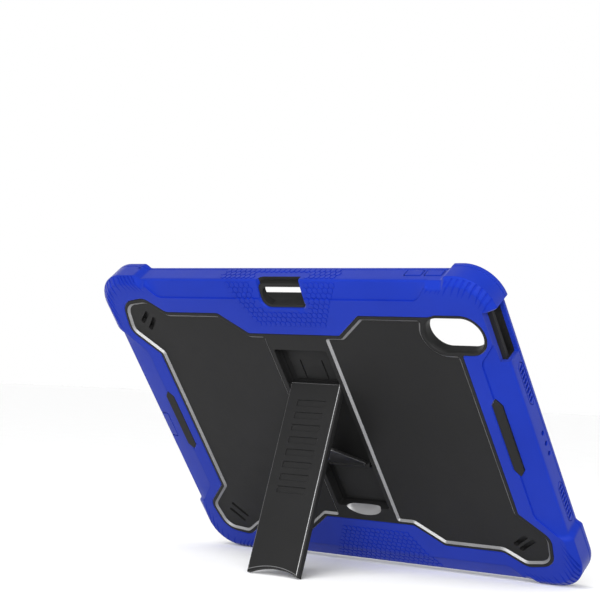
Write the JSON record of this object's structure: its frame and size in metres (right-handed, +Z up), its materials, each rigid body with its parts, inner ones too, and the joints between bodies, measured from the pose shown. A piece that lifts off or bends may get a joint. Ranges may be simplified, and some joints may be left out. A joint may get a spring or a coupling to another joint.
{
  "type": "tablet case",
  "caption": "Rugged three-layer tablet case with a silicone sleeve, a hard shell and frame, and a folding kickstand with a brace.",
  "frame": {"origin": "centre of the bounding box's base, on the table that the case and its kickstand stand on", "axes": "+X along the case's long side, to the right as seen from its back; -Y out of the side that the case's back and kickstand face; +Z up"},
  "size_m": [0.2704, 0.137, 0.1718],
  "materials": {
    "blue_silicone": "matte",
    "black_plastic": "matte",
    "steel_pin": "satin"
  },
  "bodies": {
    "case": {"silicone_sleeve": "blue_silicone", "rear_shell": "black_plastic", "front_frame": "black_plastic", "left_side_insert": "black_plastic", "right_side_insert": "black_plastic", "kickstand_tray": "black_plastic", "brace_base_pin": "steel_pin"},
    "brace": {"kickstand_brace": "black_plastic"},
    "leg": {"kickstand_leg": "black_plastic", "leg_brace_pin": "steel_pin", "leg_slider_pin": "steel_pin"},
    "port_flap": {"port_flap": "blue_silicone"},
    "volume_up": {"volume_up_button": "blue_silicone"},
    "volume_down": {"volume_down_button": "blue_silicone"}
  },
  "joints": [
    {"name": "brace_fold", "type": "hinge", "parent": "case", "child": "brace", "pos_m": [0, 0.01124, 0.06175], "axis": [1, 0, 0], "range_deg": [-39.38, 0]},
    {"name": "leg_fold", "type": "hinge", "parent": "brace", "child": "leg", "pos_m": [0, -0.03262, 0.07179], "axis": [1, 0, 0], "range_deg": [0, 93.79]},
    {"name": "port_flap_open", "type": "hinge", "parent": "case", "child": "port_flap", "pos_m": [-0.1262, -0.00318, 0.07663], "axis": [0, -0.6118, 0.791], "range_deg": [0, 110], "stiffness_Nm_per_rad": 0.002},
    {"name": "volume_up_press", "type": "slide", "parent": "case", "child": "volume_up", "axis": [0, 0.6118, -0.791], "range_m": [0, 0.0004], "stiffness_N_per_m": 2000},
    {"name": "volume_down_press", "type": "slide", "parent": "case", "child": "volume_down", "axis": [0, 0.6118, -0.791], "range_m": [0, 0.0004], "stiffness_N_per_m": 2000}
  ],
  "couplings": [
    {"joint": "leg_fold", "follows": "brace_fold", "ratio": -2.3813}
  ]
}
